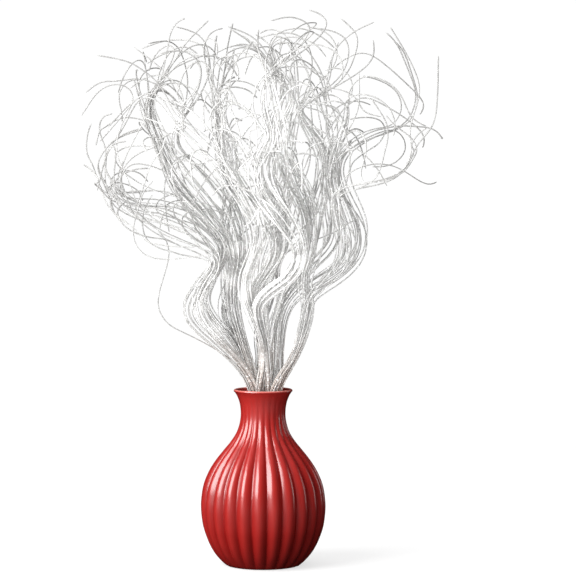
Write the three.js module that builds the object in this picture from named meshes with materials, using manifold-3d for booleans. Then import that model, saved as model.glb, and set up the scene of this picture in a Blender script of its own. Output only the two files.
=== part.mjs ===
// A red ribbed ceramic vase that holds a big spray of curly glittered stems.
// Millimetres, +Z up. The origin is the centre of the foot, and the front looks towards -Y.
import * as THREE from 'three';
import { mergeVertices } from 'three/addons/utils/BufferGeometryUtils.js';
import Module from 'manifold-3d';

const wasm = await Module();
wasm.setup();

// Vase, from the foot up: height, radius at the rib crests, depth of the grooves between the ribs
const vaseHeight = 200;
const ribCount = 24;
const pointsPerRib = 4;
const ribPhase = 3.7; // degrees from the front to the nearest groove
const vaseOutside = [
  [0, 42.6, 1.2], [11, 53, 2.8], [21, 59.6, 3.7], [32, 64.6, 4.2], [46, 68.9, 4.4], [64, 70.9, 4.4],
  [78, 70.2, 4.4], [92, 67.6, 4.4], [106, 61.9, 4.2], [118, 54.6, 3.8], [130, 45.2, 3], [140, 37, 2.3],
  [150, 30.6, 1.6], [160, 27, 1.1], [171, 25.4, 0.8], [183, 26.4, 0.6], [192, 29.4, 0.4],
  [vaseHeight, 33.7, 0.2],
];
// Inside of the wall, from the floor up: height, radius
const floorHeight = 6;
const insidePoints = 48;
const vaseInside = [
  [floorHeight, 36], [26, 53.4], [68, 63], [110, 52.4], [126, 42], [140, 31.4], [154, 24], [172, 20.8],
  [187, 23], [195, 27.2], [vaseHeight, 30.7], [vaseHeight + 1, 31],
];

// Stems
const stemRadius = 0.85;
const stemSides = 3;
const stemGap = 0.4;
const mouthHeight = 204;
const usualStems = 4;
const rootHeight = floorHeight + 0.3;
const gatherHeight = 56;
const gatherRadius = 2.7;
const gatherSides = 6;
const boundSamples = 96;
const freeSamples = 40;
const easingRounds = 5;
// The stretch inside the vase, from the floor to the mouth: share of the lock's place in the mouth, height,
// spread of its stems
const insideStretch = [
  [1.25, rootHeight + 1.7, 1.5], [0.95, 90, 2.8], [0.7, 168, 3], [1, mouthHeight, 3.5],
];
// How the stems wind round the middle of their lock, in radians
const winding = { stemByStem: 2.39996, lockByLock: 1.7, sway: 0.6, swayRate: 6 };
// A stem gets a point wherever it has run this far or turned this much
const longestRun = 70;
const sharpestTurn = 0.66;

// How the stems are eased apart: most rounds, and their clearance to the throat of the vase
const settleRounds = 240;
const throatGap = 0.6;

// Each lock of stems: its place in the mouth, then its route upwards as x, y, z and how far its stems
// spread, then the way that each stem's free end takes. A stem leaves after so many rows of the route as
// leaving says, or after the last.
const locks = {
  left_sweep: { mouth: [-15, -5], route: [
    [-30, -8, 228, 4], [-44, -13, 243, 5], [-60, -17, 258, 6], [-76, -20, 273, 7], [-84, -20, 287, 8],
    [-82, -16, 301, 10], [-73, -11, 315, 11], [-62, -6, 328, 11], [-52, -2, 340, 9], [-45, 1, 354, 8],
    [-46, 3, 366, 9], [-55, 4, 380, 12], [-69, 4, 396, 13], [-86, 2, 414, 13], [-101, -4, 434, 12],
    [-110, -8, 456, 9], [-117, -10, 476, 8], [-125, -12, 495, 8], [-130, -10, 514, 7], [-126, -8, 531, 5],
    [-119, -8, 541, 4]],
  ends: [
    [[-110, -8, 552], [-98, -10, 569], [-88, -12, 586], [-75, -14, 601], [-61, -16, 615]],
    [[-110, -4, 545], [-100, 0, 538], [-92, 4, 528], [-86, 8, 517]],
    [[-108, -12, 553], [-96, -16, 566], [-82, -20, 574], [-68, -24, 576], [-54, -28, 570], [-45, -32, 558]],
    [[-112, -4, 553], [-103, 0, 568], [-99, 4, 582], [-105, 8, 588], [-115, 12, 584], [-124, 16, 574],
      [-129, 20, 560]]] },
  left_stray: { mouth: [-16, 5], stems: 1, route: [
    [-31, 2, 228, 3], [-58, -2, 247, 4], [-84, -8, 262, 4], [-106, -12, 274, 4], [-117, -12, 292, 4],
    [-116, -10, 310, 4], [-110, -6, 330, 4], [-105, 0, 350, 4], [-108, 6, 368, 4], [-124, 12, 385, 4],
    [-148, 14, 395, 4], [-168, 14, 406, 4], [-176, 12, 420, 4], [-183, 10, 436, 4]],
  ends: [
    [[-188, 8, 450], [-184, 6, 463], [-175, 4, 475], [-164, 2, 484], [-150, 0, 491], [-138, -2, 494]]] },
  left_mane: { mouth: [-9, -11], route: [
    [-24, -20, 230, 4], [-38, -29, 247, 5], [-52, -35, 263, 7], [-66, -36, 280, 9], [-72, -32, 299, 10],
    [-66, -24, 319, 10], [-56, -16, 337, 8], [-58, -12, 350, 9], [-74, -14, 361, 12], [-93, -18, 370, 13],
    [-112, -24, 380, 13], [-129, -28, 391, 12], [-142, -32, 404, 10]],
  ends: [
    [[-147, -32, 416], [-153, -28, 434], [-163, -22, 452], [-167, -18, 470], [-164, -14, 488],
      [-156, -12, 506], [-148, -10, 520], [-147, -8, 531], [-153, -8, 540], [-165, -10, 544],
      [-180, -12, 540], [-191, -14, 529], [-203, -16, 509]],
    [[-146, -36, 414], [-154, -38, 428], [-157, -38, 442], [-152, -36, 455], [-142, -34, 465],
      [-130, -32, 471], [-120, -32, 474]],
    [[-78, -20, 350], [-100, -28, 347], [-121, -34, 348], [-136, -38, 355], [-144, -40, 368],
      [-145, -42, 384], [-141, -44, 398], [-137, -46, 412], [-132, -48, 426], [-122, -50, 436]],
    [[-137, -38, 416], [-132, -42, 430], [-128, -46, 444], [-122, -50, 458], [-112, -54, 470],
      [-108, -58, 484]]],
  leaving: [13, 13, 8, 13] },
  left_outer: { mouth: [-13, 12], route: [
    [-24, 16, 232, 4], [-37, 20, 256, 6], [-58, 26, 279, 7], [-67, 30, 301, 7], [-59, 28, 326, 8],
    [-48, 26, 349, 8], [-56, 28, 369, 14], [-75, 32, 385, 15], [-96, 36, 396, 16], [-118, 38, 403, 14],
    [-140, 37, 405, 12], [-158, 35, 411, 9], [-169, 32, 421, 7]],
  ends: [
    [[-176, 28, 432], [-182, 24, 443], [-186, 20, 454], [-182, 16, 466], [-172, 14, 478], [-160, 12, 486],
      [-146, 12, 491], [-136, 12, 494]],
    [[-174, 34, 431], [-172, 38, 440], [-163, 42, 446], [-151, 46, 447], [-140, 50, 443], [-132, 54, 434]],
    [[-177, 28, 434], [-183, 24, 449], [-179, 20, 464], [-168, 16, 482], [-160, 14, 500], [-162, 12, 516],
      [-164, 10, 529], [-160, 10, 541], [-150, 12, 549], [-137, 14, 550]],
    [[-173, 36, 429], [-168, 42, 434], [-156, 46, 432], [-143, 50, 424], [-138, 52, 412]]] },
  left_fan: { mouth: [-10, 3], route: [
    [-18, 2, 232, 4], [-26, 6, 256, 5], [-34, 10, 282, 6], [-37, 12, 306, 6], [-36, 12, 326, 6],
    [-34, 10, 344, 7], [-37, 4, 361, 10], [-45, -4, 381, 12], [-58, -10, 402, 14], [-74, -14, 423, 14],
    [-92, -16, 444, 12], [-106, -14, 464, 8], [-114, -12, 480, 8], [-124, -8, 497, 8], [-128, -2, 514, 6],
    [-124, 2, 530, 5], [-119, 4, 540, 4]],
  ends: [
    [[-109, 8, 552], [-96, 12, 563], [-80, 16, 571], [-64, 20, 577], [-48, 24, 574], [-36, 28, 566],
      [-29, 32, 554]],
    [[-112, 10, 552], [-105, 14, 566], [-95, 18, 578], [-82, 22, 588], [-68, 26, 590], [-57, 30, 584],
      [-51, 34, 573]],
    [[-106, -20, 452], [-122, -26, 457], [-140, -30, 458], [-152, -32, 450], [-157, -34, 438],
      [-154, -36, 424]],
    [[-108, 8, 548], [-96, 14, 548], [-86, 20, 540], [-80, 26, 528], [-80, 32, 514]]],
  leaving: [17, 17, 11, 17] },
  left_centre: { mouth: [-5, 0], route: [
    [-14, 6, 232, 4], [-22, 9, 256, 5], [-29, 14, 282, 6], [-32, 19, 306, 7], [-30, 26, 328, 7],
    [-28, 31, 349, 8], [-28, 38, 368, 10], [-33, 46, 389, 14], [-45, 50, 411, 15], [-62, 48, 432, 15],
    [-82, 42, 454, 12], [-98, 38, 474, 8], [-98, 36, 492, 5], [-92, 36, 506, 5]],
  ends: [
    [[-84, 38, 517], [-75, 42, 528], [-68, 46, 541], [-62, 50, 556], [-61, 54, 572], [-66, 58, 586],
      [-76, 62, 594], [-90, 66, 597], [-106, 70, 597], [-122, 74, 594], [-140, 78, 587]],
    [[-94, 38, 519], [-104, 40, 532], [-118, 42, 543], [-134, 44, 551], [-151, 44, 552], [-168, 44, 549],
      [-182, 44, 549], [-193, 44, 544], [-202, 44, 536]],
    [[-94, 34, 518], [-100, 30, 529], [-112, 26, 536], [-127, 22, 535], [-143, 18, 527], [-160, 14, 512],
      [-175, 10, 496]],
    [[-82, 36, 519], [-72, 34, 534], [-64, 32, 552], [-62, 30, 572], [-64, 28, 588], [-72, 26, 600],
      [-84, 24, 606], [-99, 22, 610]]] },
  inner_wave: { mouth: [-3, -12], route: [
    [0, -22, 232, 4], [-2, -34, 256, 5], [-11, -43, 281, 6], [-19, -50, 304, 7], [-20, -55, 328, 8],
    [-10, -64, 354, 8], [-5, -74, 376, 9], [-10, -82, 398, 10], [-22, -84, 420, 10], [-36, -80, 442, 11],
    [-50, -72, 462, 11], [-67, -66, 479, 11], [-84, -60, 494, 8], [-94, -58, 502, 5]],
  ends: [
    [[-102, -58, 513], [-108, -60, 528], [-119, -64, 545], [-134, -68, 558], [-152, -72, 568],
      [-182, -76, 574]],
    [[-102, -54, 514], [-110, -50, 527], [-121, -46, 534], [-136, -42, 531], [-150, -38, 517],
      [-164, -34, 500], [-182, -30, 480]],
    [[-93, -64, 514], [-84, -70, 524], [-72, -76, 540], [-68, -82, 556], [-74, -88, 570], [-86, -92, 577],
      [-100, -96, 578], [-112, -100, 575]],
    [[-92, -56, 512], [-82, -52, 524], [-72, -48, 540], [-68, -46, 556], [-74, -44, 568], [-84, -42, 562],
      [-91, -40, 548], [-95, -38, 534]]] },
  middle_wave: { mouth: [2, -4], route: [
    [2, -10, 232, 4], [1, -22, 256, 5], [-7, -31, 280, 6], [-13, -36, 302, 7], [-7, -41, 320, 8],
    [4, -48, 336, 8], [14, -58, 353, 9], [16, -68, 374, 11], [6, -76, 396, 12], [-12, -76, 420, 13],
    [-28, -66, 444, 13], [-38, -54, 468, 12], [-42, -44, 490, 10], [-43, -38, 506, 6], [-48, -34, 522, 5]],
  ends: [
    [[-55, -32, 538], [-60, -30, 556], [-63, -28, 572], [-64, -26, 588], [-60, -24, 598], [-53, -22, 604],
      [-45, -20, 606]],
    [[-54, -38, 538], [-57, -42, 556], [-50, -46, 570], [-40, -50, 574], [-31, -54, 567], [-27, -58, 556],
      [-29, -62, 545]],
    [[-56, -40, 540], [-63, -46, 560], [-67, -52, 580], [-63, -58, 593], [-54, -64, 592], [-50, -70, 582],
      [-52, -76, 570]],
    [[-50, -28, 534], [-44, -22, 544], [-30, -16, 548], [-14, -10, 545], [-2, -4, 536]]] },
  right_wave: { mouth: [6, -11], route: [
    [4, -20, 232, 4], [1, -33, 256, 5], [-5, -45, 279, 6], [-6, -56, 299, 7], [8, -68, 315, 8],
    [26, -81, 328, 8], [38, -95, 346, 9], [38, -104, 367, 11], [28, -106, 388, 13], [12, -102, 410, 13],
    [0, -96, 430, 13], [-4, -88, 448, 12], [2, -78, 468, 10], [9, -72, 484, 6], [4, -70, 502, 10],
    [-2, -68, 520, 12], [-1, -66, 540, 8], [8, -64, 553, 5], [15, -64, 560, 4]],
  ends: [
    [[27, -62, 568], [42, -60, 578], [57, -58, 590], [68, -56, 603], [70, -54, 613], [62, -52, 621],
      [51, -50, 625]],
    [[24, -66, 571], [38, -70, 584], [48, -74, 596], [51, -78, 605], [44, -82, 612], [28, -86, 616],
      [8, -90, 611]],
    [[26, -66, 570], [42, -70, 581], [58, -74, 585], [74, -78, 581], [85, -82, 571], [88, -86, 558],
      [85, -90, 546]],
    [[28, -60, 563], [46, -56, 562], [62, -52, 556], [72, -48, 546], [76, -44, 534]]] },
  centre: { mouth: [1, 10], route: [
    [3, 14, 232, 4], [5, 17, 257, 5], [2, 25, 282, 6], [0, 34, 304, 7], [6, 43, 324, 9], [16, 52, 347, 9],
    [24, 58, 372, 11], [20, 58, 398, 12], [8, 54, 424, 13], [3, 48, 450, 13], [8, 44, 476, 11],
    [16, 42, 498, 8], [26, 40, 518, 12], [28, 38, 538, 10], [20, 36, 554, 5], [13, 36, 561, 4]],
  ends: [
    [[5, 38, 574], [-3, 40, 588], [-14, 42, 599], [-27, 44, 606], [-40, 46, 611]],
    [[4, 34, 573], [-8, 32, 586], [-20, 30, 597], [-36, 28, 607]],
    [[2, 30, 573], [-8, 24, 582], [-21, 18, 586], [-32, 12, 584], [-42, 6, 578]],
    [[3, 42, 570], [-7, 48, 576], [-19, 54, 577], [-31, 60, 572], [-39, 66, 562], [-45, 72, 552]]] },
  right_loop: { mouth: [19, -9], route: [
    [32, -14, 230, 5], [41, -23, 254, 7], [47, -32, 276, 8], [50, -37, 296, 8], [47, -34, 315, 8],
    [48, -26, 335, 10], [54, -22, 356, 14], [56, -24, 382, 15], [50, -30, 406, 15], [40, -36, 430, 15],
    [28, -36, 452, 12], [17, -32, 470, 8], [10, -30, 484, 5], [11, -28, 502, 10], [21, -26, 520, 12],
    [26, -24, 540, 10], [20, -22, 554, 5], [14, -22, 561, 4]],
  ends: [
    [[8, -20, 574], [6, -18, 588], [14, -16, 599], [28, -14, 605], [44, -12, 606], [58, -10, 601],
      [70, -8, 594], [80, -6, 585]],
    [[6, -24, 572], [-2, -28, 582], [-13, -32, 587], [-26, -36, 588], [-38, -40, 584]],
    [[9, -26, 572], [7, -30, 584], [16, -34, 592], [31, -38, 595], [47, -42, 592], [60, -46, 585],
      [70, -50, 573]],
    [[16, -20, 572], [27, -16, 579], [40, -12, 575], [49, -8, 565], [58, -4, 557], [69, 0, 550]]] },
  right_stream: { mouth: [12, -2], route: [
    [15, 5, 232, 4], [16, 15, 256, 5], [17, 23, 279, 6], [25, 27, 300, 6], [38, 26, 318, 8],
    [52, 20, 336, 9], [67, 14, 350, 9], [79, 8, 366, 9], [82, 4, 384, 10], [80, 2, 402, 11],
    [77, 4, 420, 10], [74, 8, 440, 9], [73, 12, 459, 10], [68, 14, 478, 10], [56, 12, 496, 8],
    [46, 10, 508, 5], [42, 10, 515, 4]],
  ends: [
    [[50, 8, 523], [64, 6, 533], [84, 4, 543], [104, 2, 555], [118, 0, 566], [125, -2, 578], [124, -4, 594]],
    [[50, 12, 522], [66, 16, 532], [84, 20, 545], [97, 24, 560], [104, 28, 577], [108, 32, 594],
      [103, 36, 607], [89, 40, 620]],
    [[53, 6, 525], [67, 2, 537], [75, -2, 553], [76, -6, 570], [82, -10, 585], [94, -14, 597],
      [108, -18, 606], [124, -22, 613]],
    [[48, 14, 525], [58, 18, 540], [72, 22, 554], [82, 26, 568], [85, 30, 583], [79, 34, 598],
      [67, 38, 607], [50, 42, 611]]] },
  right_branch: { mouth: [10, 8], route: [
    [13, 18, 232, 4], [17, 34, 256, 5], [20, 48, 280, 6], [28, 58, 301, 7], [40, 66, 319, 8],
    [51, 69, 337, 10], [57, 70, 356, 12], [61, 76, 380, 12], [65, 82, 406, 12], [72, 84, 432, 12],
    [72, 80, 458, 11], [61, 72, 482, 10], [46, 66, 503, 5], [42, 64, 514, 4]],
  ends: [
    [[47, 62, 527], [62, 60, 545], [82, 60, 566], [102, 62, 580], [120, 64, 583], [136, 66, 573],
      [153, 68, 559], [170, 70, 543], [183, 70, 530], [186, 70, 520], [181, 70, 511]],
    [[48, 66, 524], [60, 70, 533], [78, 74, 545], [91, 78, 559], [98, 82, 576], [98, 86, 593],
      [90, 90, 604], [74, 94, 610], [56, 98, 612]],
    [[50, 66, 521], [64, 68, 525], [80, 70, 520], [92, 72, 508], [98, 74, 494]],
    [[46, 68, 526], [54, 74, 543], [52, 80, 560], [42, 86, 572], [28, 92, 576]]] },
  right_lobe: { mouth: [21, 1], route: [
    [20, -1, 232, 4], [21, -5, 256, 5], [24, -9, 279, 6], [32, -13, 298, 6], [46, -14, 312, 8],
    [60, -15, 321, 10], [73, -17, 329, 11], [85, -20, 338, 11], [94, -24, 350, 11], [96, -28, 366, 11],
    [93, -30, 382, 11], [88, -28, 398, 10], [83, -22, 413, 9], [79, -14, 428, 8], [76, -8, 446, 9],
    [78, -6, 464, 10], [84, -8, 482, 9], [91, -12, 499, 6], [93, -16, 513, 5]],
  ends: [
    [[92, -18, 528], [97, -20, 543], [110, -22, 553], [127, -24, 551], [143, -26, 543], [154, -28, 530],
      [160, -30, 516], [168, -32, 504], [182, -34, 497]],
    [[95, -20, 525], [106, -24, 532], [120, -28, 531], [133, -32, 525], [143, -36, 514], [147, -40, 500],
      [145, -44, 486]],
    [[91, -18, 521], [83, -22, 525], [71, -26, 525], [58, -30, 521]],
    [[96, -14, 526], [100, -12, 540], [96, -10, 554], [84, -8, 562], [70, -6, 560]]] },
  right_crown: { mouth: [10, -19], route: [
    [29, -24, 232, 5], [38, -36, 256, 7], [44, -47, 279, 8], [48, -54, 299, 8], [58, -52, 316, 8],
    [71, -48, 329, 10], [83, -46, 344, 11], [87, -44, 362, 11], [84, -42, 382, 11], [80, -42, 402, 9],
    [79, -44, 417, 7], [86, -46, 426, 6], [104, -48, 431, 5], [126, -48, 434, 5], [145, -46, 439, 6],
    [158, -42, 447, 6], [166, -38, 459, 5]],
  ends: [
    [[168, -33, 472], [166, -28, 487], [168, -24, 503], [174, -22, 520], [177, -20, 538], [173, -18, 554],
      [165, -16, 571], [156, -14, 587], [149, -12, 598], [143, -10, 608]],
    [[171, -34, 469], [168, -30, 480], [159, -26, 489], [147, -22, 498], [138, -18, 509]],
    [[122, -52, 440], [130, -54, 454], [134, -56, 470], [138, -58, 486], [136, -60, 502], [128, -62, 515],
      [120, -64, 526]],
    [[169, -42, 468], [166, -46, 476], [172, -50, 487], [181, -54, 495]]],
  leaving: [17, 17, 13, 17] },
  right_far: { mouth: [18, 10], route: [
    [35, 16, 233, 5], [44, 26, 257, 7], [49, 34, 280, 8], [53, 39, 300, 9], [66, 38, 313, 10],
    [84, 34, 325, 10], [100, 32, 339, 10], [110, 30, 355, 10], [113, 28, 373, 10], [109, 26, 391, 10],
    [101, 24, 408, 9], [93, 22, 425, 8], [87, 22, 445, 8], [91, 22, 464, 9], [106, 22, 478, 9],
    [124, 24, 488, 8], [140, 28, 493, 5]],
  ends: [
    [[156, 30, 496], [172, 32, 496], [188, 32, 495], [198, 32, 491], [205, 32, 483]],
    [[153, 32, 498], [165, 34, 507], [172, 34, 521], [174, 34, 537], [169, 34, 553], [162, 34, 570],
      [155, 34, 587], [147, 34, 598], [140, 34, 604]],
    [[151, 26, 499], [158, 22, 513], [156, 18, 528], [147, 14, 540], [131, 10, 549], [113, 6, 554]],
    [[152, 32, 492], [161, 38, 482], [162, 44, 469], [154, 50, 458], [142, 56, 452], [126, 62, 451]]] },
};
// The back and the near side repeat those locks, turned about the vase by so many degrees and drawn in
const turnedLocks = {
  back_sweep: { like: 'left_sweep', turn: -62, drawn: 0.8, mouth: [0, 21] },
  front_outer: { like: 'left_fan', turn: 98, drawn: 0.74, mouth: [-6, -18] },
  back_lobe: { like: 'right_lobe', turn: 72, drawn: 0.9, mouth: [10, 18] },
  back_mane: { like: 'left_mane', turn: -120, drawn: 0.88, mouth: [-10, 18] },
  back_far: { like: 'right_far', turn: 104, drawn: 0.8, mouth: [-6, 10] },
};

// Finishes
const glaze = new THREE.MeshStandardMaterial({ color: 0xa51d1f, roughness: 0.32, metalness: 0 });
const glitter = new THREE.MeshStandardMaterial({ color: 0xd9d8d4, roughness: 0.4, metalness: 0.35 });

// Solids

function solidOf(geometry) {
  const bare = geometry.clone();
  bare.deleteAttribute('normal');
  bare.deleteAttribute('uv');
  const merged = mergeVertices(bare, 1e-4);
  const triVerts = new Uint32Array(merged.index.array);
  const vertProperties = new Float32Array(merged.attributes.position.array);
  const solid = new wasm.Manifold(new wasm.Mesh({ numProp: 3, vertProperties, triVerts }));
  if (solid.volume() > 0) return solid;
  const turned = triVerts.map((_, i) => triVerts[i - (i % 3) + 2 - (i % 3)]);
  return new wasm.Manifold(new wasm.Mesh({ numProp: 3, vertProperties, triVerts: turned }));
}

function meshOf(solid, name, material) {
  const { vertProperties, triVerts } = solid.getMesh();
  const geometry = new THREE.BufferGeometry();
  geometry.setAttribute('position', new THREE.BufferAttribute(new Float32Array(vertProperties), 3));
  geometry.setIndex(new THREE.BufferAttribute(new Uint32Array(triVerts), 1));
  geometry.computeVertexNormals();
  const mesh = new THREE.Mesh(geometry, material);
  mesh.name = name;
  return mesh;
}

// A closed solid of stacked rings with as many points each, filled at its bottom and top
function ringSolid(rings) {
  const around = rings[0].length;
  const positions = [];
  const index = [];
  for (const ring of rings) for (const p of ring) positions.push(p.x, p.y, p.z);
  for (let row = 0; row + 1 < rings.length; row++) {
    for (let i = 0; i < around; i++) {
      const a = row * around + i;
      const b = row * around + ((i + 1) % around);
      index.push(a, b, b + around, a, b + around, a + around);
    }
  }
  const bottom = positions.length / 3;
  const top = bottom + 1;
  const last = (rings.length - 1) * around;
  positions.push(0, 0, rings[0][0].z, 0, 0, rings[rings.length - 1][0].z);
  for (let i = 0; i < around; i++) {
    const next = (i + 1) % around;
    index.push(bottom, next, i, top, last + i, last + next);
  }
  const geometry = new THREE.BufferGeometry();
  geometry.setAttribute('position', new THREE.Float32BufferAttribute(positions, 3));
  geometry.setIndex(index);
  return solidOf(geometry);
}

// Vase: round ribs that meet in sharp grooves, cut out by the smooth inside

function vaseSolid() {
  const around = ribCount * pointsPerRib;
  const phase = THREE.MathUtils.degToRad(ribPhase);
  const outside = vaseOutside.map(([z, radius, groove]) => Array.from({ length: around }, (_, i) => {
    const angle = (i / around) * 2 * Math.PI + phase;
    const crest = Math.abs(Math.sin((i / pointsPerRib) * Math.PI));
    const r = radius - groove * (1 - crest);
    return new THREE.Vector3(r * Math.cos(angle), r * Math.sin(angle), z);
  }));
  const inside = vaseInside.map(([z, radius]) => Array.from({ length: insidePoints }, (_, i) => {
    const angle = (i / insidePoints) * 2 * Math.PI;
    return new THREE.Vector3(radius * Math.cos(angle), radius * Math.sin(angle), z);
  }));
  return ringSolid(outside).subtract(ringSolid(inside));
}

// Radius of the inside of the vase at a height
function throatRadius(z) {
  const row = vaseInside.findIndex(([height]) => height > z);
  if (row < 1) return Infinity;
  const [z0, r0] = vaseInside[row - 1];
  const [z1, r1] = vaseInside[row];
  return r0 + ((r1 - r0) * (z - z0)) / (z1 - z0);
}

// Stems

// The k-th of an even scatter of numbers between 0 and 1, by its digits read backwards
function scatter(k, base) {
  let value = 0;
  let share = 1;
  for (let rest = k; rest > 0; rest = Math.floor(rest / base)) {
    share /= base;
    value += share * (rest % base);
  }
  return value;
}

// Rows of a lock's pattern where the lock itself has them: turned about the vase, and drawn in
function placed({ turn = 0, drawn = 1 }, rows) {
  const angle = THREE.MathUtils.degToRad(turn);
  return rows.map(([x, y, ...others]) => [
    drawn * (x * Math.cos(angle) - y * Math.sin(angle)),
    drawn * (x * Math.sin(angle) + y * Math.cos(angle)), ...others]);
}

// All points of a lock's route, with the stretch inside the vase put before its mouth
function lockRoute(lock) {
  const { route } = locks[lock.like] ?? lock;
  const [x, y] = lock.mouth;
  const lower = insideStretch.map(([share, z, spread]) => [share * x, share * y, z, spread]);
  return [...lower, ...placed(lock, route)];
}

// A point of a smooth curve through rows of numbers, at a share of its way
function along(rows, share) {
  const last = rows.length - 1;
  const place = share * last;
  const i = Math.min(Math.floor(place), last - 1);
  const w = place - i;
  return rows[0].map((_, n) => {
    const b = rows[i][n];
    const c = rows[i + 1][n];
    const a = i > 0 ? rows[i - 1][n] : 2 * b - c;
    const d = i + 2 <= last ? rows[i + 2][n] : 2 * c - b;
    const t0 = (c - a) / 2;
    const t1 = (d - b) / 2;
    return b + t0 * w + (-3 * b + 3 * c - 2 * t0 - t1) * w ** 2 + (2 * b - 2 * c + t0 + t1) * w ** 3;
  });
}

// The stretch in which a stem keeps to its lock, wound round the middle of the lock
function boundStretch(rows, leave, k, lockNumber) {
  const shares = Array.from({ length: boundSamples }, (_, i) => (leave * i) / (boundSamples - 1));
  const route = shares.map((share) => along(rows, share));
  const middle = route.map(([x, y, z]) => new THREE.Vector3(x, y, z));
  const away = Math.sqrt(scatter(k + 1, 2));
  const depthWay = new THREE.Vector3(0, 1, 0);
  return middle.map((point, i) => {
    const before = middle[Math.max(i - 1, 0)];
    const after = middle[Math.min(i + 1, boundSamples - 1)];
    const tangent = after.clone().sub(before).normalize();
    const side = tangent.clone().cross(depthWay).normalize();
    const up = tangent.clone().cross(side);
    const wind = winding.stemByStem * k + winding.lockByLock * lockNumber
      + winding.sway * Math.sin(winding.swayRate * shares[i] + lockNumber);
    const reach = away * route[i][3];
    return point.clone()
      .addScaledVector(side, reach * Math.cos(wind))
      .addScaledVector(up, reach * Math.sin(wind));
  });
}

// A stem keeps to its lock, then takes its own end: a smooth curve that starts in the middle of the lock,
// shifted to where the stem is and less so towards the tip
function stemPoints(lock, rows, k, lockNumber) {
  const { ends, leaving } = locks[lock.like] ?? lock;
  const last = rows.length - 1;
  const row = leaving ? insideStretch.length - 1 + leaving[k] : last;
  const points = boundStretch(rows, row / last, k, lockNumber);
  const knots = [...rows.slice(row - 1, row + 1).map(([x, y, z]) => [x, y, z]), ...placed(lock, ends[k])];
  const first = 1 / (knots.length - 1);
  const shift = points[points.length - 1].clone().sub(new THREE.Vector3(...along(knots, first)));
  for (let i = 1; i <= freeSamples; i++) {
    const share = i / freeSamples;
    const point = new THREE.Vector3(...along(knots, first + (1 - first) * share));
    points.push(point.addScaledVector(shift, 1 - share));
  }
  return thinned(eased(points));
}

// Smooths the bend where the end starts: each point moves halfway to the middle of its neighbours
function eased(points) {
  let now = points;
  for (let round = 0; round < easingRounds; round++) {
    now = now.map((point, i) => {
      if (i === 0 || i === now.length - 1) return point;
      return point.clone().add(now[i - 1].clone().add(now[i + 1]).divideScalar(2)).divideScalar(2);
    });
  }
  return now;
}

// Keeps only the points that a faceted stem needs, closer together where it curls
function thinned(points) {
  const cost = [0];
  for (let i = 1; i < points.length; i++) {
    const run = points[i].distanceTo(points[i - 1]);
    const next = points[Math.min(i + 1, points.length - 1)].clone().sub(points[i]);
    const turn = next.length() > 0 ? next.angleTo(points[i].clone().sub(points[i - 1])) : 0;
    cost.push(cost[i - 1] + run / longestRun + turn / sharpestTurn);
  }
  const count = Math.ceil(cost[cost.length - 1]);
  const kept = [];
  for (let n = 0, i = 0; n <= count; n++) {
    const goal = (n / count) * cost[cost.length - 1];
    while (i < points.length - 2 && cost[i + 1] < goal) i++;
    const share = (goal - cost[i]) / (cost[i + 1] - cost[i] || 1);
    kept.push(points[i].clone().lerp(points[i + 1], share));
  }
  return kept;
}

// Where two straight pieces come closest: the share along each, and the way from one to the other
function closest(a, b, c, d) {
  const u = b.clone().sub(a);
  const v = d.clone().sub(c);
  const w = a.clone().sub(c);
  const uu = u.dot(u);
  const uv = u.dot(v);
  const vv = v.dot(v);
  const uw = u.dot(w);
  const vw = v.dot(w);
  const flat = uu * vv - uv * uv;
  let s = flat > 1e-9 ? THREE.MathUtils.clamp((uv * vw - vv * uw) / flat, 0, 1) : 0.5;
  const t = THREE.MathUtils.clamp((uv * s + vw) / vv, 0, 1);
  s = THREE.MathUtils.clamp((uv * t - uw) / uu, 0, 1);
  const between = w.addScaledVector(u, s).addScaledVector(v, -t);
  return { s, t, between };
}

// Moves the ends of one straight piece so that its point at a share moves by a vector
function nudge(stem, i, share, move) {
  const weight = (1 - share) ** 2 + share ** 2;
  const free = (n) => (n > 0 ? 1 : 0);
  stem.points[i].addScaledVector(move, (free(i) * (1 - share)) / weight);
  stem.points[i + 1].addScaledVector(move, share / weight);
}

// Eases stems apart until none touch, and keeps them clear of the throat of the vase
function settle(stems) {
  const clear = 2 * stemRadius + stemGap;
  const pieces = stems.flatMap((stem) => (
    stem.points.slice(1).map((_, i) => ({ stem, i, box: new THREE.Box3() }))));
  for (let round = 0; round < settleRounds; round++) {
    let touching = 0;
    for (const { stem, i, box } of pieces) {
      box.setFromPoints([stem.points[i], stem.points[i + 1]]).expandByScalar(clear / 2);
    }
    for (let m = 0; m < pieces.length; m++) {
      const one = pieces[m];
      for (let n = m + 1; n < pieces.length; n++) {
        const other = pieces[n];
        if (one.stem === other.stem || !one.box.intersectsBox(other.box)) continue;
        const [a, b] = [one.stem.points[one.i], one.stem.points[one.i + 1]];
        const [c, d] = [other.stem.points[other.i], other.stem.points[other.i + 1]];
        const { s, t, between } = closest(a, b, c, d);
        const distance = between.length();
        const low = a.z + (b.z - a.z) * s < gatherHeight + stemGap;
        if (distance >= clear || (low && one.stem.lock === other.stem.lock)) continue;
        touching++;
        if (distance < 1e-6) between.set(0, 1, 0);
        const move = between.normalize().multiplyScalar((clear + 0.05 - distance) / 2);
        nudge(one.stem, one.i, s, move);
        nudge(other.stem, other.i, t, move.negate());
      }
    }
    for (const { stem, i } of pieces) {
      for (const share of [0.25, 0.5, 0.75, 1]) {
        const point = stem.points[i].clone().lerp(stem.points[i + 1], share);
        const reach = Math.hypot(point.x, point.y);
        const beyond = reach + stemRadius + throatGap - throatRadius(point.z);
        if (point.z > vaseHeight + 1 || beyond <= 0) continue;
        nudge(stem, i, share, new THREE.Vector3(-point.x, -point.y, 0).multiplyScalar(beyond / reach));
      }
    }
    if (touching === 0) break;
  }
}

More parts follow.
